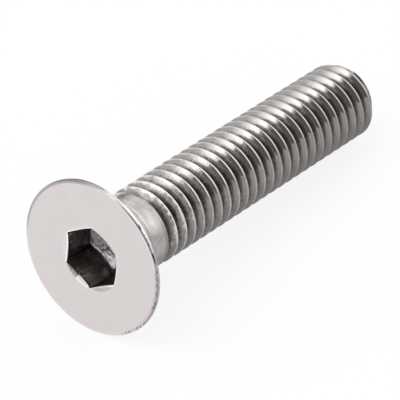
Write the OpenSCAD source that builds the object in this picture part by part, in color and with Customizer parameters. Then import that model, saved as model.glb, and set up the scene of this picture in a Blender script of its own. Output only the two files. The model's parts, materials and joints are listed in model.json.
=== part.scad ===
// Countersunk socket screw, lying on its side as it comes to rest.
// It is built along +Z, from the head face at z = 0 to the tip, and then laid on the plane z = 0.

/* [Thread] */
// Major diameter of the thread, over its crests
thread_d = 5.9; // [5:0.05:7.9]
// Pitch of the right-hand thread
pitch = 1; // [0.7:0.05:1.25]
// Angle between the two flanks of a groove
flank_angle = 60; // [50:1:65]
// Length over which the groove runs out towards the head
runout_len = 0.7; // [0.4:0.1:3]
// Turn of the thread about the screw's axis, which shifts it along the shank
thread_turn = 306; // [0:1:359]

/* [Shank] */
// Length from the head face to the tip
screw_len = 30; // [16:1:60]
// Diameter of the plain neck between the head and the thread
neck_d = 5.8; // [5:0.05:7.9]
// Length of the plain neck, from the cone to the thread
neck_len = 1.5; // [0.6:0.1:5]
// Radius of the fillet between the cone and the neck
neck_fillet = 0.5; // [0.1:0.05:1]
// Length of the chamfer on the tip
tip_chamfer = 1; // [0.3:0.05:1.2]

/* [Head] */
// Diameter over the rim
head_d = 11.5; // [10:0.1:16]
// Height of the land round the rim, from the head face to the cone
rim_land = 0.3; // [0.25:0.05:0.6]
// Radius of the rounded front edge of the rim
rim_round = 0.12; // [0.04:0.01:0.12]
// Whole angle of the cone under the head
cone_angle = 90; // [80:1:100]

/* [Socket] */
// Width of the hexagon across its flats
socket_af = 4.15; // [3:0.05:4.5]
// Depth of the flats, from the head face
socket_depth = 2.5; // [1.5:0.1:3]
// Diameter of the chamfer round the mouth
mouth_d = 4.9; // [4.7:0.05:6]
// Whole angle of the chamfer round the mouth
mouth_angle = 144; // [90:1:150]
// Turn of the hexagon about the screw's axis
socket_turn = 42.5; // [0:0.5:59.5]

/* [Rest] */
// Turn of the lying screw about its own axis
roll = 16.7; // [0:0.1:90]

/* [Hidden] */
$fn = 96;
steps = 32; // facets of the thread in one turn
land_sides = 240; // sides of the fine polygon that the land round the rim is made as
land_step = 0.005; // how far the land stands proud of the rounded edge and the cone
cut = 0.5; // how far a cutter reaches past the face that it opens

head_r = head_d / 2;
turned_r = head_r - land_step;
neck_r = neck_d / 2;
crest_r = thread_d / 2;

// Profile of the thread: root flat, flank, crest flat and flank make one pitch
crest_flat = pitch / 8;
thread_depth = 0.6134 * pitch;
flank_len = thread_depth * tan(flank_angle / 2);
root_flat = pitch - crest_flat - 2 * flank_len;
root_r = crest_r - thread_depth;
crest_offset = root_flat + flank_len;

// Stations along the screw, from the head face
cone_end = rim_land + (turned_r - neck_r) / tan(cone_angle / 2);
thread_start = cone_end + neck_len;
thread_len = screw_len - thread_start;
last_crest = screw_len - tip_chamfer;
tip_r = crest_r - tip_chamfer;

// The thread starts inside the neck: a hair thinner than it and sunk a little way into its end
shoulder = 0.04;
sunk = 0.2;
thread_foot = thread_start - sunk;
start_r = min(neck_r, crest_r) - shoulder;

// The rim touches the plane that the screw lies on, and so does a crest on the underside near the tip:
// the last whole one, or the next one that the chamfer cuts back
function tilt_on(z, r) = atan((head_r - r) / (z - rim_land));
first_low_crest = thread_start + crest_offset + pitch * (thread_turn - roll) / 360;
low_crest = first_low_crest + pitch * floor((last_crest - first_low_crest) / pitch);
whole_crest_end = min(low_crest + crest_flat, last_crest);
cut_crest = low_crest + pitch;
cut_crest_r = tip_r + screw_len - cut_crest;
rest_tilt = min(tilt_on(whole_crest_end, crest_r), tilt_on(cut_crest, cut_crest_r));
rest_lift = head_r * cos(rest_tilt) + rim_land * sin(rest_tilt);
low_x = -(turned_r - rim_round) * sin(rest_tilt);
high_x = tip_r * sin(rest_tilt) + screw_len * cos(rest_tilt);

// Rows of the thread's surface follow the helix, four to a pitch: root, root, crest, crest
row_offsets = [0, root_flat, crest_offset, crest_offset + crest_flat];
rows = 4 * (ceil(thread_len / pitch) + 3);
row_near_end = 0.01; // a row this close to an end of the thread becomes part of that end

function row_z(column, row) =
    thread_start + pitch * (floor(row / 4) - 2 + column / steps + thread_turn / 360) + row_offsets[row % 4];
function is_low(column, row) = row_z(column, row) <= thread_start + row_near_end;
function is_high(column, row) = row_z(column, row) >= screw_len - row_near_end;
function low_row(column, row = 0) = is_low(column, row + 1) ? low_row(column, row + 1) : row;
function high_row(column, row = 0) = is_high(column, row) ? row : high_row(column, row + 1);

function ease(x) = let (t = min(max(x, 0), 1)) t * t * (3 - 2 * t);
function row_r(row, z) =
    let (full_r = row % 4 < 2 ? root_r : crest_r)
    let (grown_r = start_r + (full_r - start_r) * ease((z - thread_start) / runout_len))
    min(grown_r, tip_r + screw_len - z);
function row_point(column, row) =
    let (z = is_low(column, row) ? thread_foot : is_high(column, row) ? screw_len : row_z(column, row))
    let (angle = 360 * column / steps)
    let (r = row_r(row, z))
    [r * cos(angle), r * sin(angle), z];

module thread() {
    low_rows = [for (column = [0:steps - 1]) low_row(column)];
    high_rows = [for (column = [0:steps - 1]) high_row(column)];
    points = [for (column = [0:steps - 1]) for (row = [0:rows - 1]) row_point(column, row)];
    function at(column, row) =
        let (around = column % steps)
        let (turned = column < steps ? row : row + 4)
        around * rows + min(max(turned, low_rows[around]), high_rows[around]);
    quads = [for (column = [0:steps - 1]) for (row = [0:rows - 5])
        [at(column, row), at(column, row + 1), at(column + 1, row + 1), at(column + 1, row)]];
    halves = [for (q = quads) each [[q[0], q[1], q[2]], [q[0], q[2], q[3]]]];
    sides = [for (t = halves) if (t[0] != t[1] && t[1] != t[2] && t[2] != t[0]) t];
    bottom = [for (column = [0:steps - 1]) at(column, 0)];
    top = [for (column = [steps - 1:-1:0]) at(column, rows - 1)];
    polyhedron(points, concat(sides, [bottom, top]));
}

module head_and_neck() {
    side = 90 - cone_angle / 2; // slope of the cone, measured from the head face
    corner_run = neck_fillet * tan(side / 2);
    fillet_z = cone_end + corner_run;
    fillet_r = neck_r + neck_fillet;
    cone_touch = [fillet_r - neck_fillet * cos(side), fillet_z - neck_fillet * sin(side)];
    rotate_extrude() {
        difference() {
            polygon([
                [0, 0],
                [turned_r - rim_round, 0],
                [turned_r, rim_round],
                [turned_r, rim_land],
                cone_touch,
                [fillet_r, fillet_z],
                [neck_r, fillet_z],
                [neck_r, thread_start],
                [0, thread_start],
            ]);
            translate([fillet_r, fillet_z]) circle(neck_fillet);
        }
        translate([turned_r - rim_round, rim_round]) circle(rim_round);
    }
}

// The land is a fine polygon, so that the lying screw rests on one of many short edges
module land() {
    turn = 360 / land_sides;
    corners = [for (side = [0:land_sides - 1]) head_r * [cos(side * turn), sin(side * turn)]];
    translate([0, 0, rim_round]) linear_extrude(rim_land - rim_round) polygon(corners);
}

module socket() {
    corner_d = socket_af / cos(30);
    mouth_slope = tan(mouth_angle / 2);
    mouth_r = mouth_d / 2;
    mouth_depth = mouth_r / mouth_slope;
    floor_r = 0.95 * socket_af / 2; // radius of the shallow cone that ends the socket
    floor_half_angle = 60;
    overlap = 0.01;
    rotate(socket_turn) translate([0, 0, -cut]) cylinder(h = socket_depth + cut, d = corner_d, $fn = 6);
    translate([0, 0, -cut]) cylinder(h = mouth_depth + cut, r1 = mouth_r + cut * mouth_slope, r2 = 0);
    translate([0, 0, socket_depth - overlap])
        cylinder(h = floor_r / tan(floor_half_angle), r1 = floor_r, r2 = 0);
}

module lie() {
    translate([-(low_x + high_x) / 2, 0, rest_lift]) rotate([0, 90 + rest_tilt, 0]) rotate(roll) children();
}

module screw() {
    color("silver") lie() union() {
        difference() {
            union() {
                head_and_neck();
                land();
            }
            socket();
        }
        thread();
    }
}

screw();
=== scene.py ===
import json
import math
from types import SimpleNamespace
import bpy
import numpy as np
from mathutils import Matrix, Vector


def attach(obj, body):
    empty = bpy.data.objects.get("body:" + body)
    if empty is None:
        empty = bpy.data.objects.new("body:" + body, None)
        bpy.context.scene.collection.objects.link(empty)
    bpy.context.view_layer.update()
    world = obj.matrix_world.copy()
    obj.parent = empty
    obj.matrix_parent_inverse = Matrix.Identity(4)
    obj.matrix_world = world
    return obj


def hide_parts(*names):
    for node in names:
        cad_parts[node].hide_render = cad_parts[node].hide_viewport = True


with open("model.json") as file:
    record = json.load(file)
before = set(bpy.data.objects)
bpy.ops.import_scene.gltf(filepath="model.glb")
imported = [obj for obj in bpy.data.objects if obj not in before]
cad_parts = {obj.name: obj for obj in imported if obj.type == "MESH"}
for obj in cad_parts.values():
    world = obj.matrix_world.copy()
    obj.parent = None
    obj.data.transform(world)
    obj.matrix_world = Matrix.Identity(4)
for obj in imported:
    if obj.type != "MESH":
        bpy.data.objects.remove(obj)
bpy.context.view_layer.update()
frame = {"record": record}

# The screw's place: its axis and the middle of its head face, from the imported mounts
mounts = {mount["name"]: mount for mount in frame["record"]["mounts"]}
axis = Vector(mounts["neck"]["axis"]).normalized()
onAxis = Vector(mounts["neck"]["pos_m"])
faceCentre = onAxis + axis * (Vector(mounts["head_face"]["pos_m"]) - onAxis).dot(axis)
millimetre = 0.001


# The screw in millimetres, along its own z from the head face to the tip
screw = {
    "length": 30.0,
    "headRadius": 5.75,
    "rimLand": 0.3,
    "landStep": 0.005,  # how far the land stands proud of the cone
    "rimRound": 0.12,
    "rimBack": 0.05,  # round of the edge between land and cone
    "coneHalfAngle": 45,
    "neckRadius": 2.9,
    "neckLength": 1.5,
    "neckFillet": 0.5,
    "neckDrop": 0.04,  # step from the neck down to the foot of the thread
    "crestRadius": 2.95,
    "pitch": 1.0,
    "flankHalfAngle": 30,
    "threadDepth": 0.6134,
    "crestFlat": 0.125,
    "crestBend": 0.05,  # width of the soft bend at a crest's corners, and at a root's
    "rootBend": 0.16,
    "runOut": 0.7,
    "threadTurn": 306,
    "tipChamfer": 1.0,
    "tipRound": 0.08,
    "socketHalf": 2.075,  # half of the hexagon across its flats
    "socketDepth": 2.5,
    "socketTurn": 42.5,
    "floorRadius": 1.9475,
    "floorHalfAngle": 60,
    "mouthRadius": 2.45,
    "mouthHalfAngle": 72,
    "edgeRound": 0.04,  # round of the socket's edges
    "roll": 16.7,
    "sharpAngle": 40,  # edges that turn by more than this stay sharp
}

# How finely the surface is divided
grid = {
    "columns": 144,  # a multiple of 6, so that columns run down the hexagon's corners
    # rings of the floor, in shares of its radius
    "floorShares": (0.12, 0.25, 0.4, 0.55, 0.7, 0.85, 0.95, 1.0),
    "wallRows": 10,
    "mouthShares": (0.2, 0.9),  # first and last ring of the mouth, in shares of its width
    "mouthRows": 4,
    "faceRows": 10,
    "rimRows": 7,
    "coneRows": 9,
    "filletRows": 8,
    "neckRows": 6,
    "rowGap": 0.1,  # room that face, cone and neck leave beside a round
    "bendRows": 4,  # rows over each bend of the thread's profile
    "meanSteps": 9,  # places that the running mean over a bend takes in
    "tipShares": (0.7, 0.4, 0.15),  # rings of the flat end, in shares of its radius
    "snap": 0.02,  # rows of the thread this close to an end become part of it
}
zoneNames = ["floor", "wall", "mouth", "face", "rim", "cone", "neck", "thread", "end"]
zoneNumber = {name: number for number, name in enumerate(zoneNames)}


def tangent(degrees):
    return math.tan(math.radians(degrees))


# Part of a circle: centre plus radius times cosine and sine of the swept angle
def arc(centreR, centreZ, radius, fromDeg, toDeg, count):
    swept = np.radians(np.linspace(fromDeg, toDeg, count))
    return centreR + radius * np.cos(swept), centreZ + radius * np.sin(swept)


# Distance from the axis to the hexagon: half across flats over the cosine of the angle folded into one sixth
def hexagon(angles, half, turn):
    folded = np.mod(angles - math.radians(turn), math.pi / 3) - math.pi / 6
    return half / np.cos(folded)


# The rows from the socket's floor out over the head to the thread: radius and depth at each angle, and zone
def headRows(s, angles):
    wall = hexagon(angles, s["socketHalf"], s["socketTurn"])
    ones = np.ones_like(angles)
    radii, depths, zones = [], [], []

    def ring(r, z, zone):
        radii.append(r * ones)
        depths.append(z * ones)
        zones.append(zoneNumber[zone])

    # the floor is a shallow cone, and its last two rings round the corner into the wall
    e = s["edgeRound"]
    for r in s["floorRadius"] * np.array(grid["floorShares"]):
        ring(r, s["socketDepth"] + (s["floorRadius"] - r) / tangent(s["floorHalfAngle"]), "floor")
    ring(wall - e, s["socketDepth"], "floor")
    ring(wall - 0.3 * e, s["socketDepth"] - 0.3 * e, "floor")
    # the mouth's cone meets each flat along a curve, deepest at the middle of the flat
    lip = (s["mouthRadius"] - wall) / tangent(s["mouthHalfAngle"])
    for share in np.linspace(0, 1, grid["wallRows"]):
        ring(wall, (s["socketDepth"] - e) * (1 - share) + (lip + e) * share, "wall")
    ring(wall + 0.3 * e, lip + 0.25 * e, "mouth")
    for share in np.linspace(*grid["mouthShares"], grid["mouthRows"]):
        ring(wall + (s["mouthRadius"] - wall) * share, lip * (1 - share), "mouth")
    ring(s["mouthRadius"], 0.15 * e, "mouth")
    ring(s["mouthRadius"] + 0.5 * e, 0.0, "face")
    faceEdge = s["headRadius"] - s["rimRound"]
    for r in np.linspace(s["mouthRadius"] + 3 * e, faceEdge - grid["rowGap"], grid["faceRows"]):
        ring(r, 0.0, "face")
    for r, z in zip(*arc(faceEdge, s["rimRound"], s["rimRound"], -90, 0, grid["rimRows"])):
        ring(r, z, "rim")
    back = s["rimBack"]
    ring(s["headRadius"], s["rimLand"] - back, "rim")
    ring(s["headRadius"] - 0.12 * back, s["rimLand"] + 0.12 * back, "rim")
    # the cone, and the fillet that touches both it and the neck
    slope = tangent(s["coneHalfAngle"])
    turnedRadius = s["headRadius"] - s["landStep"]
    coneEnd = s["rimLand"] + (turnedRadius - s["neckRadius"]) / slope
    side = 90 - s["coneHalfAngle"]
    filletZ = coneEnd + s["neckFillet"] * tangent(side / 2)
    filletR = s["neckRadius"] + s["neckFillet"]
    touchR = filletR - s["neckFillet"] * math.cos(math.radians(side))
    for r in np.linspace(s["headRadius"] - back, touchR + grid["rowGap"] / 2, grid["coneRows"]):
        ring(r, s["rimLand"] + (turnedRadius - r) / slope, "cone")
    for r, z in zip(*arc(filletR, filletZ, s["neckFillet"], 180 + side, 180, grid["filletRows"])):
        ring(r, z, "cone")
    # the neck, and two rings down the step at its end
    threadStart = coneEnd + s["neckLength"]
    drop = s["neckDrop"]
    for z in np.linspace(filletZ + grid["rowGap"], threadStart - 3 * drop, grid["neckRows"]):
        ring(s["neckRadius"], z, "neck")
    ring(s["neckRadius"] - 0.25 * drop, threadStart - 1.25 * drop, "neck")
    ring(s["neckRadius"] - drop, threadStart, "neck")
    return np.array(radii), np.array(depths), np.array(zones), threadStart


# Thread profile over one pitch: root, flank, crest, flank, with corners softened by a running mean
def threadProfile(s):
    flank = s["threadDepth"] * tangent(s["flankHalfAngle"])
    root = s["pitch"] - s["crestFlat"] - 2 * flank
    low = s["crestRadius"] - s["threadDepth"]
    corners = np.array([0, root, root + flank, root + flank + s["crestFlat"], s["pitch"]])
    heights = np.array([low, low, s["crestRadius"], s["crestRadius"], low])
    bends = np.array([s["rootBend"], s["rootBend"], s["crestBend"], s["crestBend"]])[:, None]
    bendOffsets = corners[:4, None] + bends * np.linspace(-0.5, 0.5, grid["bendRows"])
    flankOffsets = corners[[1, 3]] + flank / 2
    offsets = np.concatenate([bendOffsets.ravel(), flankOffsets])
    widths = np.concatenate([np.repeat(bends, grid["bendRows"]), np.zeros(2)])
    spread = widths[:, None] * np.linspace(-0.5, 0.5, grid["meanSteps"])
    radii = np.interp(np.mod(offsets[:, None] + spread, s["pitch"]), corners, heights).mean(axis=1)
    order = np.argsort(offsets)
    return offsets[order], radii[order]


# Rows of the thread follow the helix: depth grows by one pitch per turn of the column's angle,
# and the radius eases from the neck's into the profile and is cut back by the chamfer's cone
def threadRows(s, angles, threadStart):
    offsets, heights = threadProfile(s)
    perPitch = len(offsets)
    turns = math.ceil((s["length"] - threadStart) / s["pitch"]) + 4
    along = (np.repeat(np.arange(turns), perPitch) - 2) * s["pitch"] + np.tile(offsets, turns)
    full = np.tile(heights, turns)
    shift = s["pitch"] * (angles / (2 * math.pi) + s["threadTurn"] / 360)
    depths = threadStart + along[:, None] + shift[None, :]
    eased = np.clip((depths - threadStart) / s["runOut"], 0, 1)
    eased = eased * eased * (3 - 2 * eased)
    startRadius = s["neckRadius"] - s["neckDrop"]
    radii = startRadius + (full[:, None] - startRadius) * eased
    tipRadius = s["crestRadius"] - s["tipChamfer"]
    radii = np.minimum(radii, tipRadius + s["length"] - depths)
    return radii, depths, perPitch


# Rows over the flat end: round a small edge from the chamfer, then flat to the middle
def tipRows(s):
    edge = s["crestRadius"] - s["tipChamfer"]
    rounded = edge - s["tipRound"] * np.array([0, 0.6, 1.6])
    flat = edge * np.array(grid["tipShares"])
    z = s["length"] - s["tipRound"] * np.array([0.45, 0.1, 0])
    return np.concatenate([rounded, flat]), np.concatenate([z, np.full(len(flat), s["length"])])


# Two triangles per cell of a grid, from the cell's four corners
def trianglesOf(a, b, c, d):
    return np.concatenate([np.stack([a, c, b], -1).reshape(-1, 3), np.stack([a, d, c], -1).reshape(-1, 3)])


# The whole surface as one grid: x and y are radius times cosine and sine of a column's angle, z is depth
def buildScrew(s):
    count = grid["columns"]
    columns = np.arange(count)
    nextColumn = (columns + 1) % count
    angles = 2 * math.pi * columns / count + math.radians(s["socketTurn"] % (360 / count))
    headR, headZ, zones, threadStart = headRows(s, angles)
    bodyR, bodyZ, perPitch = threadRows(s, angles, threadStart)
    endR, endZ = [np.repeat(row[:, None], count, axis=1) for row in tipRows(s)]
    headCount = len(headR)
    bodyCount = len(bodyR)
    endFirst = headCount + bodyCount
    radii = np.concatenate([headR, bodyR, endR])
    depths = np.concatenate([headZ, bodyZ, endZ])
    points = np.stack([radii * np.cos(angles), radii * np.sin(angles), depths], -1).reshape(-1, 3)
    floorPole = len(points)
    endPole = floorPole + 1
    floorTip = headZ[0, 0] + headR[0, 0] / tangent(s["floorHalfAngle"])
    points = np.concatenate([points, [[0, 0, floorTip], [0, 0, s["length"]]]])

    # plain rings, joined straight across the seam
    def rings(first, rows):
        row = np.arange(first, first + rows - 1)[:, None] * count
        nextRow = row + count
        return trianglesOf(row + columns, nextRow + columns, nextRow + nextColumn, row + nextColumn)

    # helix rows: past the seam a column meets the rows one turn on,
    # and rows beyond an end fall on that end's ring
    ids = (headCount + np.arange(bodyCount))[:, None] * count + columns
    ids = np.where(bodyZ <= threadStart + grid["snap"], (headCount - 1) * count + columns, ids)
    ids = np.where(bodyZ >= endZ[0, 0] - grid["snap"], endFirst * count + columns, ids)
    pastEnd = np.repeat(ids[-1:, :1], perPitch, axis=0)
    pastSeam = np.concatenate([ids[perPitch:, :1], pastEnd])
    onward = np.concatenate([ids[:, 1:], pastSeam], axis=1)

    head = rings(0, headCount)
    body = trianglesOf(ids[:-1], ids[1:], onward[1:], onward[:-1])
    end = rings(endFirst, len(endR))
    lastRow = (endFirst + len(endR) - 1) * count
    floorFan = np.stack([np.full(count, floorPole), nextColumn, columns], -1)
    endFan = np.stack([np.full(count, endPole), lastRow + columns, lastRow + nextColumn], -1)
    faces = np.concatenate([head, body, end, floorFan, endFan])
    headZones = np.tile(np.repeat(np.maximum(zones[:-1], zones[1:]), count), 2)
    otherZones = [zoneNumber[name] for name in ("thread", "end", "floor", "end")]
    otherZones = np.repeat(otherZones, [len(body), len(end), count, count])
    zone = np.concatenate([headZones, otherZones])
    a, b, c = faces.T
    whole = (a != b) & (b != c) & (c != a)  # a triangle with a corner used twice is left out
    used, faces = np.unique(faces[whole], return_inverse=True)
    return points[used], faces.reshape(-1, 3), zone[whole]


# Turn from the screw's own axes to the lying screw: x points down and z along the axis, after its own roll
down = Vector((axis.z, 0, -axis.x))
lay = Matrix((down, down.cross(axis) * -1, axis)).transposed()
layTurn = lay @ Matrix.Rotation(math.radians(screw["roll"]), 3, "Z")

points, faces, zone = buildScrew(screw)
placed = points @ np.array(layTurn).T * millimetre + np.array(faceCentre)
mesh = bpy.data.meshes.new("screwBody")
mesh.from_pydata(placed, [], faces)
mesh.update()
screwBody = bpy.data.objects.new("screwBody", mesh)
bpy.context.collection.objects.link(screwBody)
print("screw surface", len(placed), "points", len(faces), "triangles")


# Wraps one socket, so that shader maths reads as plain expressions
class Wire:
    def __init__(self, tree, socket=None):
        self.tree = tree
        self.socket = socket

    # any node: its type, its settings first, then the values or links of its sockets
    def node(self, kind, settings=None, sockets=None, out=0):
        made = self.tree.nodes.new("ShaderNode" + kind)
        for name, value in (settings or {}).items():
            setattr(made, name, value)
        for name, value in (sockets or {}).items():
            if isinstance(value, Wire):
                self.tree.links.new(value.socket, made.inputs[name])
            else:
                made.inputs[name].default_value = value
        return Wire(self.tree, made.outputs[out]) if made.outputs else None

    def maths(self, operation, *values):
        return self.node("Math", {"operation": operation}, dict(enumerate(values)))

    def __add__(self, other):
        return self.maths("ADD", self, other)

    def __sub__(self, other):
        return self.maths("SUBTRACT", self, other)

    def __rsub__(self, other):
        return self.maths("SUBTRACT", other, self)

    def __mul__(self, other):
        return self.maths("MULTIPLY", self, other)

    def __truediv__(self, other):
        return self.maths("DIVIDE", self, other)

    def __rtruediv__(self, other):
        return self.maths("DIVIDE", other, self)

    __radd__ = __add__
    __rmul__ = __mul__

    # 0 at low, 1 at high, smooth between; low may be the larger
    def step(self, low, high):
        settings = {"interpolation_type": "SMOOTHSTEP"}
        return self.node("MapRange", settings, {"Value": self, "From Min": low, "From Max": high})

    # a colour between two, by this value
    def blend(self, colourA, colourB):
        return self.node("Mix", {"data_type": "RGBA"}, {0: self, 6: colourA, 7: colourB}, out=2)

    # this colour multiplied by another
    def times(self, colour):
        settings = {"data_type": "RGBA", "blend_type": "MULTIPLY"}
        return self.node("Mix", settings, {0: 1.0, 6: self, 7: colour}, out=2)

    # this vector's three parts
    def parts(self):
        outputs = self.node("SeparateXYZ", None, {0: self}).socket.node.outputs
        return [Wire(self.tree, output) for output in outputs]


def newMaterial(name):
    material = bpy.data.materials.new(name)
    material.use_nodes = True
    material.node_tree.nodes.clear()
    return material, Wire(material.node_tree)


# Object coordinates turned into the screw's own millimetres
def ownCoordinates(wire):
    sockets = {
        "Vector": wire.node("TexCoord", out="Object"),
        "Location": faceCentre,
        "Rotation": layTurn.to_euler("XYZ"),
        "Scale": (millimetre, millimetre, millimetre),
    }
    return wire.node("Mapping", {"vector_type": "TEXTURE"}, sockets)


# The same place taken apart: across, depth, distance from the axis and degrees round it
def aroundAxis(wire, where):
    x, y, depth = where.parts()
    radius = wire.maths("SQRT", x * x + y * y)
    degrees = wire.maths("ARCTAN2", y, x) * math.degrees(1)
    return SimpleNamespace(x=x, y=y, depth=depth, radius=radius, degrees=degrees)


def noiseOf(wire, where, scale, detail=3.0, roughness=0.5, distortion=0.0):
    sockets = {
        "Vector": where,
        "Scale": scale,
        "Detail": detail,
        "Roughness": roughness,
        "Distortion": distortion,
    }
    return wire.node("TexNoise", None, sockets)


# Noise drawn out into lines: each of its three directions has been scaled on its own
def lineNoise(wire, x, y, z, scale=1.0, detail=2.0, roughness=0.5):
    return noiseOf(wire, wire.node("CombineXYZ", None, {0: x, 1: y, 2: z}), scale, detail, roughness)


# The first with a share of the second in its place
def mixed(first, second, share):
    return first * (1 - share) + second * share


# 1 between two angles round the axis, fading over some degrees inside each end
def between(degrees, first, last, fade=8.0, lastFade=None):
    return degrees.step(first, first + fade) * degrees.step(last, last - (lastFade or fade))


# Steel's own slight warmth: red a little above green and blue
def steel(level, tint=(1.05, 0.99, 0.985)):
    return (level * tint[0], level * tint[1], level * tint[2], 1)


def grey(level):
    return (level, level, level, 1)


# Steel between two greys, by a shade that is read over a range
def shaded(shade, contrast, dull, pale):
    return shade.step(*contrast).blend(steel(dull), steel(pale))


# Roughness about a level, which a noise moves up and down over a spread
def roughAbout(noise, look):
    return noise * look["roughSpread"] + (look["rough"] - look["roughSpread"] / 2)


def finishSteel(wire, colour, roughness, height, bump, metallic=1.0):
    normal = wire.node("Bump", None, {"Strength": 1.0, "Distance": bump, "Height": height})
    sockets = {"Base Color": colour, "Metallic": metallic, "Roughness": roughness, "Normal": normal}
    wire.node("OutputMaterial", None, {"Surface": wire.node("BsdfPrincipled", None, sockets)})


faceLook = {
    "dull": 0.655,
    "pale": 0.7,
    "contrast": (0.3, 0.7),
    "mottleScale": 0.6,
    "grainScale": 9.0,
    "grainShare": 0.6,  # the rest of the shade is mottle
    "rough": 0.34,
    "roughSpread": 0.08,
    "bump": 2e-6,
}


# Fine satin of the face: broad mottle and fine grain between two close greys
def faceSteel():
    material, wire = newMaterial("satinFace")
    look = faceLook
    where = ownCoordinates(wire)
    mottle = noiseOf(wire, where, look["mottleScale"], 4.0)
    grain = noiseOf(wire, where, look["grainScale"], 4.0, 0.6)
    colour = shaded(mixed(mottle, grain, look["grainShare"]), look["contrast"], look["dull"], look["pale"])
    finishSteel(wire, colour, roughAbout(grain, look), grain, look["bump"])
    return material


socketLook = {
    # dark and pale are greys of the walls' painted shade in the socket, between which the stains vary
    "dark": 0.11,
    "pale": 0.33,
    "contrast": (0.36, 0.66),
    "cloudScale": 0.9,
    "dragAcross": 6.0,  # drag lines are narrow across and long down the wall
    "dragDown": 0.7,
    "dragShare": 0.3,
    "tintScale": 0.5,
    "tintContrast": (0.42, 0.6),
    "redTint": (1.0, 0.87, 0.85, 1),
    "greenTint": (0.96, 1.0, 0.96, 1),
    "scratch": 0.85,
    "scratchContrast": (0.58, 0.63),
    "scratchFrom": (0.1, 0.2),  # depths over which bright scratches begin, and end raggedly
    "scratchTo": (1.15, 0.85),
    "rough": 0.3,
    "roughSpread": 0.2,
    "bump": 3e-5,
}


# Broached walls: painted dark as painted shade in the socket, with cloudy stains and fine drag lines that
# run down into the socket
def socketSteel():
    material, wire = newMaterial("socketWall")
    look = socketLook
    where = ownCoordinates(wire)
    at = aroundAxis(wire, where)
    cloud = noiseOf(wire, where, look["cloudScale"], 4.0, 0.6)
    across = look["dragAcross"]
    drag = lineNoise(wire, at.x * across, at.y * across, at.depth * look["dragDown"], 1.0, 3.0, 0.6)
    stain = mixed(cloud, drag, look["dragShare"])
    # the stains' greys are painted dark, as painted shade in the socket
    stainedAndShaded = shaded(stain, look["contrast"], look["dark"], look["pale"])
    tintNoise = noiseOf(wire, where, look["tintScale"], 1.0)
    tint = tintNoise.step(*look["tintContrast"]).blend(look["redTint"], look["greenTint"])
    reached = at.depth.step(*look["scratchFrom"]) * (at.depth + cloud).step(*look["scratchTo"])
    scratch = drag.step(*look["scratchContrast"]) * reached
    colour = scratch.blend(stainedAndShaded.times(tint), steel(look["scratch"]))
    finishSteel(wire, colour, roughAbout(stain, look), drag, look["bump"])
    return material


floorLook = {
    "even": 0.36,
    "dark": 0.1,
    "pale": 0.9,
    "contrast": (0.4, 0.6),
    "swirlScale": 1.5,
    "swirlTwist": 2.2,
    "ringsPerMm": 8.0,
    "ringWander": 0.5,
    "ringShare": 0.45,
    "swirlFrom": 0.9,  # the drill's swirls lie on the side below this
    "swirlFade": 0.3,
    "swirlRagged": 0.8,
    "ledge": 0.06,  # the ledge between the drilled hole and two of the flats is painted dark as painted shade
    "ledgeFrom": 1.76,
    "ledgeFade": 0.04,
    "ledgeRagged": 0.3,
    "flatDegrees": (12.5, -47.5),  # directions of those two flats
    "chipScale": 4.5,
    "chipContrast": (0.42, 0.48),
    "chipRow": (-0.2, -0.1),  # chips lie in a row along the ledge, from these distances before it
    "bigChip": (1.5, -0.5),  # place of the largest chip, painted white as a painted glint
    "bigChipFade": (0.1, 0.06),  # its edge, as the distance squared
    "bigChipRagged": 0.12,
    "chipMatt": 0.85,  # how far a chip's torn steel scatters light as a matt surface does, which shows its painted glint white
    "chipHeight": 0.15,
    "rough": 0.28,
    "roughSpread": 0.2,
    "bump": 1.1e-4,
}


# The drilled floor: even grey on one side, swirls on the other, a ledge painted dark as painted shade, and
# chips along the ledge's edge painted white as painted glints
def floorSteel():
    material, wire = newMaterial("socketFloor")
    look = floorLook
    where = ownCoordinates(wire)
    at = aroundAxis(wire, where)
    swirl = noiseOf(wire, where, look["swirlScale"], 3.0, 0.55, look["swirlTwist"])
    chips = noiseOf(wire, where, look["chipScale"], 2.0, 0.6)
    wander = look["ringWander"]
    rings = lineNoise(wire, at.radius * look["ringsPerMm"], at.x * wander, at.y * wander)
    turned = mixed(swirl, rings, look["ringShare"])
    swirled = shaded(turned, look["contrast"], look["dark"], look["pale"])
    start = look["swirlFrom"]
    fade = look["swirlFade"]
    side = (at.y + (swirl - 0.5) * look["swirlRagged"]).step(start + fade, start - fade)
    ground = side.blend(steel(look["even"]), swirled)
    flats = [math.radians(flat) for flat in look["flatDegrees"]]
    reach = wire.maths("MAXIMUM", *[at.x * math.cos(flat) + at.y * math.sin(flat) for flat in flats])
    ragged = reach + (chips - 0.5) * look["ledgeRagged"]
    ledge = look["ledgeFrom"]
    # where the ledge is painted dark as painted shade
    onLedge = ragged.step(ledge - look["ledgeFade"], ledge + look["ledgeFade"])
    inRow = ragged.step(*[ledge + before for before in look["chipRow"]])
    specks = inRow * chips.step(*look["chipContrast"])
    asideX = at.x - look["bigChip"][0]
    asideY = at.y - look["bigChip"][1]
    away = asideX * asideX + asideY * asideY + (chips - 0.5) * look["bigChipRagged"]
    # the chips are real, their white is a painted glint
    chipped = wire.maths("MAXIMUM", specks, away.step(*look["bigChipFade"])) * (1 - onLedge)
    colour = onLedge.blend(chipped.blend(ground, grey(1.0)), steel(look["ledge"]))
    height = mixed(turned, chips, look["chipHeight"])
    finishSteel(wire, colour, roughAbout(swirl, look), height, look["bump"], 1 - chipped * look["chipMatt"])
    return material


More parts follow.
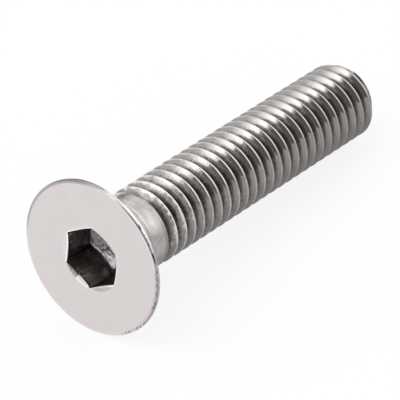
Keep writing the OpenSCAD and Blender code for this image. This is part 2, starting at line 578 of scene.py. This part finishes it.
mouthLook = {
    "plain": 0.7,
    "bright": 0.97,
    "grey": 0.3,
    "greyStreaks": (0.6, 1.5),  # streaks in the scuffed stretch, as shares of its grey
    "contrast": (0.4, 0.6),
    "brightFrom": -16.0,  # degrees round the axis from which the whole chamfer is painted bright as a painted highlight
    "brightFade": 3.0,
    "greyFrom": 12.0,  # and between which it is scuffed grey
    "greyTo": 44.0,
    "greyFade": (2.0, 3.0),
    "lowFrom": -72.0,  # the lower crescent is painted dull as painted shade
    "lowTo": -22.0,
    "lowGrey": 0.5,
    "lineWidth": 0.1,  # the painted highlight line along the hexagon's edge
    "lineFade": 0.02,
    "lineRagged": 0.06,
    "linesRound": 0.03,  # scuff lines are long round the axis and narrow across
    "linesAcross": 9.0,
    "rough": 0.17,
    "roughSpread": 0.1,
    "bump": 4e-6,
}


# Distance from the axis measured square to the nearest flat, which is the same all along a hexagon
def hexReach(wire, x, y):
    turns = [math.radians(screw["socketTurn"] + 30 + 60 * flat) for flat in range(3)]
    reaches = [wire.maths("ABSOLUTE", x * math.cos(turn) + y * math.sin(turn)) for turn in turns]
    return wire.maths("MAXIMUM", wire.maths("MAXIMUM", reaches[0], reaches[1]), reaches[2])


# The chamfer round the mouth: a painted highlight line at its edge, a stretch of painted highlight, a
# scuffed one and a crescent of painted shade
def mouthSteel():
    material, wire = newMaterial("mouthSteel")
    look = mouthLook
    at = aroundAxis(wire, ownCoordinates(wire))
    lines = lineNoise(wire, at.degrees * look["linesRound"], at.radius * look["linesAcross"], 0.0)
    fadeIn, fadeOut = look["greyFade"]
    brightStart = look["brightFrom"] - look["brightFade"]
    scuffed = between(at.degrees, look["greyFrom"], look["greyTo"], fadeIn, fadeOut)
    # a stretch of the chamfer painted bright as a painted highlight
    shining = between(at.degrees, brightStart, look["greyFrom"] + fadeIn, look["brightFade"], fadeIn)
    # the lower crescent painted dull as painted shade
    crescent = between(at.degrees, look["lowFrom"], look["lowTo"])
    # a painted highlight line along the hexagon's edge
    lineEnd = screw["socketHalf"] + look["lineWidth"]
    reach = hexReach(wire, at.x, at.y) + (lines - 0.5) * look["lineRagged"]
    edgeLine = reach.step(lineEnd + look["lineFade"], lineEnd - look["lineFade"])
    streaks = shaded(lines, look["contrast"], *[look["grey"] * share for share in look["greyStreaks"]])
    plain = crescent.blend(steel(look["plain"]), steel(look["lowGrey"]))
    lined = wire.maths("MAXIMUM", edgeLine, shining).blend(plain, steel(look["bright"]))
    finishSteel(wire, scuffed.blend(lined, streaks), roughAbout(lines, look), lines, look["bump"])
    return material


rimLook = {
    "land": 0.84,
    "landSpread": (0.9, 1.1),  # grain of the land and the cone, as shares of its grey
    "contrast": (0.3, 0.7),
    "landEnd": (0.36, 0.3),  # depths over which the land ends
    "brightLand": 1.0,  # the land is painted brightest between these degrees round the axis, as a painted highlight
    "brightFrom": -178.0,
    "brightTo": -40.0,
    "dimLand": 0.42,  # and painted dull between these, as painted shade
    "dimFrom": 60.0,
    "dimTo": 176.0,
    "edge": 0.7,
    "edgeEnd": (0.06, 0.1),  # depths over which the front edge goes over into the land
    "dullEdge": 0.42,  # the front edge is painted dull between these, as painted shade
    "dullFrom": 64.0,
    "dullTo": 168.0,
    "dullFade": 20,
    "nick": 0.05,
    "nickFrom": -165.0,  # dark nicks lie along the edge between these
    "nickTo": -122.0,
    "nickContrast": (0.47, 0.53),
    "nickTop": (0.04, 0.07),  # depths over which they begin and end
    "nickFoot": (0.2, 0.15),
    "nickRound": 1.6,
    "nickDeep": 5.0,
    "speck": 0.3,  # and fine specks between these, where the land is matt
    "speckFrom": -125.0,
    "speckTo": -44.0,
    "speckScale": 5.0,
    "speckContrast": (0.56, 0.62),
    "speckFoot": (0.18, 0.12),
    "ragged": 0.08,
    "grainScale": 2.2,
    "rough": 0.2,
    "roughSpread": 0.12,
    "mattRough": 0.4,
    "bump": 2e-5,
}


# The rim: a thin front edge, part bright and part dull as painted shade, dark nicks and specks, then the
# land and the cone, the land with a painted highlight on one side and painted shade on the other
def rimSteel():
    material, wire = newMaterial("rimSteel")
    look = rimLook
    where = ownCoordinates(wire)
    at = aroundAxis(wire, where)
    grain = noiseOf(wire, where, look["grainScale"], 4.0, 0.6)
    nickRound = look["nickRound"]
    nicks = lineNoise(wire, at.x * nickRound, at.y * nickRound, at.depth * look["nickDeep"], 1.0, 4.0, 0.65)
    ragged = at.depth + (nicks - 0.5) * look["ragged"]
    onLand = ragged.step(*look["landEnd"])
    # the front edge painted dull on one side, as painted shade
    dull = between(at.degrees, look["dullFrom"], look["dullTo"], look["dullFade"])
    edge = dull.blend(steel(look["edge"]), steel(look["dullEdge"]))
    bare = shaded(grain, look["contrast"], *[look["land"] * share for share in look["landSpread"]])
    # the land painted bright on one side as a painted highlight
    shining = onLand * between(at.degrees, look["brightFrom"], look["brightTo"])
    # the land painted dull on the other side, as painted shade
    dim = onLand * between(at.degrees, look["dimFrom"], look["dimTo"])
    land = dim.blend(shining.blend(bare, steel(look["brightLand"])), steel(look["dimLand"]))
    turned = ragged.step(*look["edgeEnd"]).blend(edge, land)
    nickBand = ragged.step(*look["nickTop"]) * ragged.step(*look["nickFoot"])
    nickSide = between(at.degrees, look["nickFrom"], look["nickTo"])
    nicked = nickSide * nicks.step(*look["nickContrast"]) * nickBand
    matt = between(at.degrees, look["speckFrom"], look["speckTo"]) * onLand
    specks = noiseOf(wire, where, look["speckScale"], 2.0).step(*look["speckContrast"])
    specked = matt * specks * ragged.step(*look["speckFoot"])
    colour = specked.blend(nicked.blend(turned, steel(look["nick"])), steel(look["speck"]))
    finishSteel(wire, colour, roughAbout(grain, look) + matt * look["mattRough"], nicks, look["bump"])
    return material


neckLook = {
    "dull": 0.47,
    "pale": 0.68,
    "contrast": (0.36, 0.64),
    "lowDull": 0.66,  # greys of the side painted paler with painted light, between two angles round the axis
    "lowPale": 0.98,
    "lowFrom": -145.0,
    "lowTo": -50.0,
    "lowFade": 24,
    "blotchScale": 1.3,
    "linesRound": 0.35,  # fine lines are long round the neck and narrow along it
    "linesAlong": 12.0,
    "linesFrom": (4.0, 4.4),  # depths over which they grow stronger
    "linesShare": (0.15, 0.35),  # their share before that, and what is added
    "highlightStreak": 0.84,
    "streakTurn": -150.0,
    "streakWidth": 24,
    "streakDepth": 3.9,
    "streakThin": 2,
    "streakRagged": 5,
    "streakFade": (1.1, -0.4),
    "rough": 0.22,
    "roughSpread": 0.2,
    "bump": 1.5e-5,
}


# The turned neck: soft blotches, fine lines that run round it near the thread, one side painted paler with
# painted light and one painted highlight streak
def neckSteel():
    material, wire = newMaterial("neckSteel")
    look = neckLook
    where = ownCoordinates(wire)
    at = aroundAxis(wire, where)
    blotch = noiseOf(wire, where, look["blotchScale"], 5.0, 0.62)
    linesRound = look["linesRound"]
    lines = lineNoise(wire, at.x * linesRound, at.y * linesRound, at.depth * look["linesAlong"])
    share, added = look["linesShare"]
    shade = blotch + (lines - blotch) * (at.depth.step(*look["linesFrom"]) * added + share)
    plain = shaded(shade, look["contrast"], look["dull"], look["pale"])
    # one side painted paler with painted light
    paler = shaded(shade, look["contrast"], look["lowDull"], look["lowPale"])
    sided = between(at.degrees, look["lowFrom"], look["lowTo"], look["lowFade"]).blend(plain, paler)
    # a painted highlight streak across the neck
    aside = wire.maths("ABSOLUTE", at.degrees - look["streakTurn"]) / look["streakWidth"]
    away = aside + wire.maths("ABSOLUTE", at.depth - look["streakDepth"]) * look["streakThin"]
    highlightStreak = (away + (shade - 0.5) * look["streakRagged"]).step(*look["streakFade"])
    colour = highlightStreak.blend(sided, steel(look["highlightStreak"]))
    finishSteel(wire, colour, roughAbout(blotch, look), shade, look["bump"])
    return material


threadLook = {
    "rootShadeGrey": 0.14,  # grooves painted dark as warm painted shade, crests painted bright as a painted highlight
    "flankGrey": 0.59,
    "crestHighlightGrey": 1.0,
    "farCrestHighlightGrey": 0.72,  # the crests' painted highlight is dimmer towards the tip
    "tipGrey": 0.55,
    "tipFade": 0.1,
    "grooveShadeTint": (1.09, 0.98, 0.93),
    "bareTint": (1.04, 0.99, 0.968),
    "grooveShadeRadius": (2.4, 2.79),  # distances from the axis over which the grooves' painted shade gives way to the bare flank
    "crestRadius": (2.87, 2.95),  # and the flank to the crest's painted highlight
    "streaksRound": 9.0,  # streaks run across the groove, scuffs along it
    "streaksAlong": 0.5,
    "streakScale": 1.3,
    "scuffsRound": 7.0,
    "scuffsAlong": 9.0,
    "scuffedTo": (24.0, 9.0),  # scuffs are strong near the head and fade to a rest over these depths
    "scuffRest": 0.25,
    "grooveShadeUneven": 0.7,
    "crestUneven": 0.26,
    "raggedFrom": (4.9, 5.3),  # the first crests are worn wide and ragged, which widens their painted highlight: this fades in over these depths
    "raggedTo": (9.0, 6.0),  # and out over these
    "raggedWidth": 0.6,
    "raggedBare": 0.42,  # scuffs above this widen a crest
    "raggedMatt": 0.5,  # how far worn steel scatters light as a matt surface does, which shows the crest's painted highlight white
    "spared": (-125.0, 120.0),  # degrees round the axis between which they are less worn
    "sparedFade": 30,
    "sparedShare": 0.7,
    "rough": 0.1,
    "roughUneven": 0.3,
    "bump": 2e-5,
}


# Rolled thread: grey follows the distance from the axis, painted shade in the grooves and a painted
# highlight on the crests, with streaks across the groove and scuffs along it
def threadSteel():
    material, wire = newMaterial("threadSteel")
    look = threadLook
    at = aroundAxis(wire, ownCoordinates(wire))
    roundX = at.x / at.radius
    roundY = at.y / at.radius
    turn = look["streaksRound"]
    alongStreak = at.depth * look["streaksAlong"]
    streaks = lineNoise(wire, roundX * turn, roundY * turn, alongStreak, look["streakScale"], 4.0, 0.6)
    turn = look["scuffsRound"]
    scuffs = lineNoise(wire, roundX * turn, roundY * turn, at.depth * look["scuffsAlong"], 1.0, 4.0, 0.7)
    nearHead = at.depth.step(*look["scuffedTo"])
    strength = nearHead * (1 - look["scuffRest"]) + look["scuffRest"]
    uneven = (mixed(streaks, scuffs, 0.5) - 0.5) * strength
    # painted shade in the grooves, warm, giving way to the flank's grey
    grooveShade = steel(look["rootShadeGrey"], look["grooveShadeTint"])
    flank = steel(look["flankGrey"], look["bareTint"])
    grooveShaded = (at.radius + uneven * look["grooveShadeUneven"]).step(*look["grooveShadeRadius"]).blend(grooveShade, flank)
    spared = between(at.degrees, *look["spared"], look["sparedFade"]) * look["sparedShare"]
    ragged = at.depth.step(*look["raggedFrom"]) * at.depth.step(*look["raggedTo"]) * (1 - spared)
    widened = ragged * (scuffs - look["raggedBare"]) * look["raggedWidth"]
    # the crests get a painted highlight, widened where they are worn and dimmer towards the tip
    wearAndHighlightReach = at.radius + (scuffs - 0.5) * strength * look["crestUneven"] + widened
    onCrest = wearAndHighlightReach.step(*look["crestRadius"])
    farCrestHighlight = steel(look["farCrestHighlightGrey"], look["bareTint"])
    crestHighlight = nearHead.blend(farCrestHighlight, steel(look["crestHighlightGrey"], look["bareTint"]))
    crestsHighlighted = onCrest.blend(grooveShaded, crestHighlight)
    tipStart = screw["length"] - screw["tipChamfer"]
    onTip = at.depth.step(tipStart - look["tipFade"], tipStart + look["tipFade"])
    colour = onTip.blend(crestsHighlighted, steel(look["tipGrey"]))
    roughness = uneven * look["roughUneven"] + look["rough"]
    finishSteel(wire, colour, roughness, uneven, look["bump"], 1 - onCrest * ragged * look["raggedMatt"])
    return material


endLook = {
    "dull": 0.42,
    "pale": 0.62,
    "contrast": (0.35, 0.65),
    "marksPerMm": 11.0,
    "marksRound": 0.01,
    "blotchScale": 1.4,
    "blotchShare": 0.5,
    "rough": 0.34,
    "roughSpread": 0.16,
    "bump": 6e-6,
}


# The flat end: facing marks round its middle over soft blotches
def endSteel():
    material, wire = newMaterial("endSteel")
    look = endLook
    where = ownCoordinates(wire)
    at = aroundAxis(wire, where)
    marks = lineNoise(wire, at.radius * look["marksPerMm"], at.degrees * look["marksRound"], 0.0)
    blotch = noiseOf(wire, where, look["blotchScale"], 4.0, 0.6)
    colour = shaded(mixed(marks, blotch, look["blotchShare"]), look["contrast"], look["dull"], look["pale"])
    finishSteel(wire, colour, roughAbout(blotch, look), marks, look["bump"])
    return material


materials = {
    "face": faceSteel(),
    "wall": socketSteel(),
    "floor": floorSteel(),
    "mouth": mouthSteel(),
    "rim": rimSteel(),
    "neck": neckSteel(),
    "thread": threadSteel(),
    "end": endSteel(),
}
for material in materials.values():
    mesh.materials.append(material)
slots = list(materials)
finishNames = ["rim" if name == "cone" else name for name in zoneNames]  # the cone has the rim's finish
slotOfZone = np.array([slots.index(name) for name in finishNames])
mesh.polygons.foreach_set("material_index", slotOfZone[zone].astype(np.int32))
mesh.polygons.foreach_set("use_smooth", np.ones(len(faces), dtype=bool))
mesh.set_sharp_from_angle(angle=math.radians(screw["sharpAngle"]))
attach(screwBody, "root")
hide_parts("screw")
print("materials", [material.name for material in materials.values()])


# Studio: a pale floor inside a light tent, with bright panels and dark gaps that the steel mirrors
studio = {
    "floorSize": 3.0,
    "floorWhite": 0.9,
    "cameraGlow": 0.85,  # share of plain white that the camera sees in the floor
    "glossGlow": 0.8,  # the same for reflections, which keep more of the shadow
    "skyLight": 0.9,  # level of the tent for soft light on the floor
    "tentLevel": 0.6,  # level of the tent's cloth between its panels
    "topFade": 8.0,  # degrees over which a panel fades at its top and foot
}
# Panels of the tent: azimuth and elevation from and to, the degrees over which each side edge fades,
# and how much brighter or darker than the cloth it is
tentPanels = {
    "keyPanel": {"azimuth": (-124, -95), "elevation": (23, 100), "fade": (40, 5), "level": 1.12},
    "headCloth": {"azimuth": (-178, -146), "elevation": (-10, 9), "fade": (4, 10), "level": -0.12},
    "backPanel": {"azimuth": (95, 190), "elevation": (22, 85), "fade": (8, 8), "level": 0.4},
    "backGap": {"azimuth": (118, 190), "elevation": (-10, 14), "fade": (14, 8), "level": -0.42},
    "fillPanel": {"azimuth": (38, 92), "elevation": (8, 52), "fade": (8, 8), "level": 0.45},
    "sideGap": {"azimuth": (-91, -48), "elevation": (-10, 55), "fade": (5, 12), "level": -0.48},
    "sideCloth": {"azimuth": (-48, -8), "elevation": (-10, 60), "fade": (12, 10), "level": -0.2},
    "narrowGap": {"azimuth": (4, 28), "elevation": (-10, 66), "fade": (8, 8), "level": -0.45},
}


# Unit vector: sine and minus cosine of the azimuth, both times the cosine of the elevation, and its sine
def direction(azimuth, elevation):
    a = math.radians(azimuth)
    e = math.radians(elevation)
    return Vector((math.sin(a) * math.cos(e), -math.cos(a) * math.cos(e), math.sin(e)))


# Whether a ray comes from the camera, a reflection or a transmission
def lightPath(wire):
    outputs = wire.node("LightPath").socket.node.outputs
    names = ["Is Camera Ray", "Is Glossy Ray", "Is Transmission Ray"]
    return [Wire(wire.tree, outputs[name]) for name in names]


# A flat piece of the stage from its corners
def flatPiece(name, corners, faces, material):
    flatMesh = bpy.data.meshes.new(name)
    flatMesh.from_pydata(corners, [], faces)
    flatMesh.materials.append(material)
    piece = bpy.data.objects.new(name, flatMesh)
    bpy.context.collection.objects.link(piece)
    return piece


# The floor: a square of matt white that also glows, so that it looks white and keeps the shadow
def buildFloor():
    material, wire = newMaterial("paleFloor")
    white = wire.node("BsdfDiffuse", None, {"Color": grey(studio["floorWhite"])})
    glow = wire.node("Emission", None, {"Color": grey(1.0), "Strength": 1.0})
    seen, gloss, through = lightPath(wire)
    share = seen * studio["cameraGlow"] + (gloss + through) * studio["glossGlow"]
    surface = wire.node("MixShader", None, {0: share, 1: white, 2: glow})
    wire.node("OutputMaterial", None, {"Surface": surface})
    half = studio["floorSize"] / 2
    corners = [(-half, -half, 0), (half, -half, 0), (half, half, 0), (-half, half, 0)]
    floor = flatPiece("floor", corners, [(0, 1, 2, 3)], material)


# Level of the tent in a direction: its cloth plus each panel's share, which fades over the panel's edge
def tentLevel(wire):
    x, y, z = wire.node("TexCoord", out="Generated").parts()
    azimuth = wire.maths("ARCTAN2", x, y * -1) * math.degrees(1)
    elevation = wire.maths("ARCSINE", z) * math.degrees(1)
    level = studio["tentLevel"]
    rise = studio["topFade"] / 2
    for panel in tentPanels.values():
        low, high = panel["azimuth"]
        lowFade, highFade = [fade / 2 for fade in panel["fade"]]
        foot, top = panel["elevation"]
        across = azimuth.step(low - lowFade, low + lowFade) * azimuth.step(high + highFade, high - highFade)
        upward = elevation.step(foot - rise, foot + rise) * elevation.step(top + rise, top - rise)
        level = across * upward * panel["level"] + level
    return level


# The tent: white to the camera, its panels to reflections, an even level to soft light
def buildTent():
    world = bpy.data.worlds.new("lightTent")
    bpy.context.scene.world = world
    world.use_nodes = True
    world.node_tree.nodes.clear()
    wire = Wire(world.node_tree)
    seen, gloss, through = lightPath(wire)
    mirrored = tentLevel(wire) * (gloss + through)
    level = seen + mirrored + (1 - seen - gloss - through) * studio["skyLight"]
    sky = wire.node("Background", None, {"Color": grey(1.0), "Strength": level})
    wire.node("OutputWorld", None, {"Surface": sky})


paintedShadowMat = {
    "near": 0.28,  # level of the painted shadow close to the shank, and further out
    "far": 0.41,
    "fade": (-0.0032, -0.0075),  # places along y between which the level rises
    "start": -0.0142,  # it begins behind the head's face
    "end": 0.2,
    "front": -0.0045,  # and leaves the floor in front of the face white
    "reach": 1.4,
    "azimuths": (-75, 60),  # it widens between these directions
    "height": 0.00002,
}


# A sheet of painted shadow on the floor under the shank, darker near it, which only reflections see, so that
# the thread's grooves stay dark
def buildMat():
    material, wire = newMaterial("paintedShadowMat")
    aside = wire.node("TexCoord", out="Object").parts()[1]
    # painted shadow, darker close to the shank
    level = aside.step(*paintedShadowMat["fade"]).blend(grey(paintedShadowMat["near"]), grey(paintedShadowMat["far"]))
    glow = wire.node("Emission", None, {"Color": level, "Strength": 1.0})
    wire.node("OutputMaterial", None, {"Surface": glow})
    lift = Vector((0, 0, paintedShadowMat["height"]))
    start = Vector((paintedShadowMat["start"], 0, 0)) + lift
    end = Vector((paintedShadowMat["end"], 0, 0)) + lift
    corner = start + Vector((0, paintedShadowMat["front"], 0))
    left, right = [direction(azimuth, 0) * paintedShadowMat["reach"] + lift for azimuth in paintedShadowMat["azimuths"]]
    mat = flatPiece("paintedShadowMat", [start, corner, left, right, end], [(0, 1, 3, 4), (1, 2, 3)], material)
    mat.visible_camera = False
    mat.visible_diffuse = False
    mat.visible_shadow = False


keySoftbox = {"azimuth": -118, "elevation": 55, "distance": 0.8, "size": 0.6, "level": 2.0}


# The lamp that casts the shadow, turned towards the screw
def buildSoftbox():
    size = keySoftbox["size"]
    lamp = bpy.data.lights.new("keySoftbox", "AREA")
    lamp.shape = "RECTANGLE"
    lamp.size = size
    lamp.size_y = size
    lamp.energy = keySoftbox["level"] * math.pi * size * size  # gives about this radiance
    lampObject = bpy.data.objects.new("keySoftbox", lamp)
    out = direction(keySoftbox["azimuth"], keySoftbox["elevation"])
    lampObject.location = out * keySoftbox["distance"]
    lampObject.rotation_euler = out.to_track_quat("Z", "Y").to_euler()
    lampObject.visible_glossy = False  # the tent's own panel is what the steel mirrors
    bpy.context.collection.objects.link(lampObject)


buildFloor()
buildTent()
buildMat()
buildSoftbox()
print("studio built")


# Camera at the photograph's view: direction, lens and the pixel where the head face's middle lands
shot = {
    "azimuth": -51.9809,
    "elevation": 36.794,
    "lens": 274.0265,
    "sensor": 36.0,
    "image": 400,
    "headPixel": (90.563, 258.6449),
    "headDepth": 0.20513188,
    "clip": (0.01, 20.0),
}


# The camera stands off from the face's middle, moved by that pixel's distance from the picture's middle
def buildCamera():
    camera = bpy.data.cameras.new("photoCamera")
    camera.sensor_width = shot["sensor"]
    camera.lens = shot["lens"]
    camera.clip_start, camera.clip_end = shot["clip"]
    cameraObject = bpy.data.objects.new("photoCamera", camera)
    toCamera = direction(shot["azimuth"], shot["elevation"])
    turn = toCamera.to_track_quat("Z", "Y")
    right = turn @ Vector((1, 0, 0))
    up = turn @ Vector((0, 1, 0))
    focal = shot["lens"] / shot["sensor"] * shot["image"]
    aside, below = [(pixel - shot["image"] / 2) / focal * shot["headDepth"] for pixel in shot["headPixel"]]
    cameraObject.location = faceCentre + toCamera * shot["headDepth"] - right * aside + up * below
    cameraObject.rotation_euler = turn.to_euler()
    bpy.context.collection.objects.link(cameraObject)
    bpy.context.scene.camera = cameraObject
    return cameraObject


camera = buildCamera()
bpy.context.scene.view_settings.view_transform = "Standard"
print("camera at", tuple(round(value / millimetre, 3) for value in camera.location))
